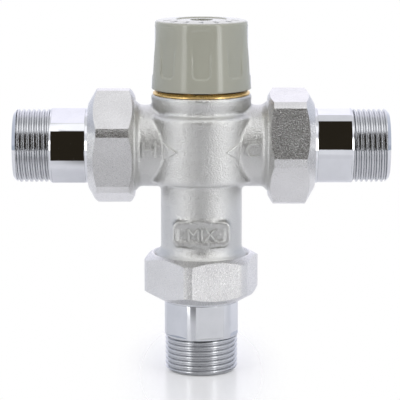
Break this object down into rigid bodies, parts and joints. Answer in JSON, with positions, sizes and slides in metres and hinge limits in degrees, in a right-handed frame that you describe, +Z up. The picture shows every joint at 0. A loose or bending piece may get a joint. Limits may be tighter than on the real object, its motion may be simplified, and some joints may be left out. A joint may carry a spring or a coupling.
{
  "type": "thermostatic mixing valve",
  "caption": "Chromed mixing valve with union inlets on both sides, an outlet below and a fluted grey temperature knob on top; blends hot and cold water to a set warmth.",
  "frame": {"origin": "centre of the outlet tailpiece's end face, on the surface that the valve stands on", "axes": "+Z up along the outlet and knob axis, +X towards the cold inlet, -X towards the hot inlet, -Y towards the front with the flow arrows and the plaque"},
  "size_m": [0.1354, 0.0422, 0.1289],
  "materials": {
    "body_chrome": "satin",
    "nut_chrome": "satin",
    "tail_chrome": "polished",
    "brass": "machined",
    "copper": "machined",
    "knob_plastic": "satin",
    "steel": "drawn",
    "rubber": "matte",
    "fibre": "matte",
    "white_plastic": "moulded",
    "grey_plastic": "moulded"
  },
  "bodies": {
    "valve": {"valve_body": "body_chrome", "bonnet": "brass", "bonnet_o_ring": "rubber", "thrust_washer": "white_plastic", "gasket_hot": "fibre", "tailpiece_hot": "tail_chrome", "union_nut_hot": "nut_chrome", "gasket_cold": "fibre", "tailpiece_cold": "tail_chrome", "union_nut_cold": "nut_chrome", "gasket_mixed": "fibre", "tailpiece_mixed": "tail_chrome", "union_nut_mixed": "nut_chrome", "strainer_hot": "steel", "check_housing_hot": "white_plastic", "check_spring_hot": "steel", "strainer_cold": "steel", "check_housing_cold": "white_plastic", "check_spring_cold": "steel", "return_spring": "steel"},
    "control": {"temperature_knob": "knob_plastic", "knob_screw": "steel", "spindle": "brass", "spindle_o_ring": "rubber"},
    "adjuster": {"adjuster": "brass", "retaining_ring": "brass", "overtravel_spring": "steel"},
    "plunger": {"overtravel_cup": "brass", "element_pin": "steel"},
    "shutter": {"shutter": "grey_plastic", "shutter_o_ring": "rubber", "wax_element": "copper"},
    "hot_check": {"check_poppet_hot": "grey_plastic"},
    "cold_check": {"check_poppet_cold": "grey_plastic"}
  },
  "joints": [
    {"name": "knob_turn", "type": "hinge", "parent": "valve", "child": "control", "pos_m": [0, 0, 0.118], "axis": [0, 0, 1], "range_deg": [-150, 150]},
    {"name": "adjuster_travel", "type": "slide", "parent": "valve", "child": "adjuster", "axis": [0, 0, 1], "range_m": [-0.00063, 0.00063], "deforming": ["return_spring"]},
    {"name": "overtravel", "type": "slide", "parent": "adjuster", "child": "plunger", "axis": [0, 0, 1], "range_m": [0, 0.0018], "stiffness_N_per_m": 1000, "deforming": ["overtravel_spring"]},
    {"name": "shutter_travel", "type": "slide", "parent": "adjuster", "child": "shutter", "axis": [0, 0, 1], "range_m": [-0.0005, 0.0005], "stiffness_N_per_m": 3000, "deforming": ["return_spring"]},
    {"name": "hot_check_travel", "type": "slide", "parent": "valve", "child": "hot_check", "axis": [1, 0, 0], "range_m": [0, 0.004], "stiffness_N_per_m": 150, "deforming": ["check_spring_hot"]},
    {"name": "cold_check_travel", "type": "slide", "parent": "valve", "child": "cold_check", "axis": [-1, 0, 0], "range_m": [0, 0.004], "stiffness_N_per_m": 150, "deforming": ["check_spring_cold"]}
  ],
  "couplings": [
    {"joint": "knob_turn", "follows": "adjuster_travel", "rad_per_m": 4188.8}
  ]
}
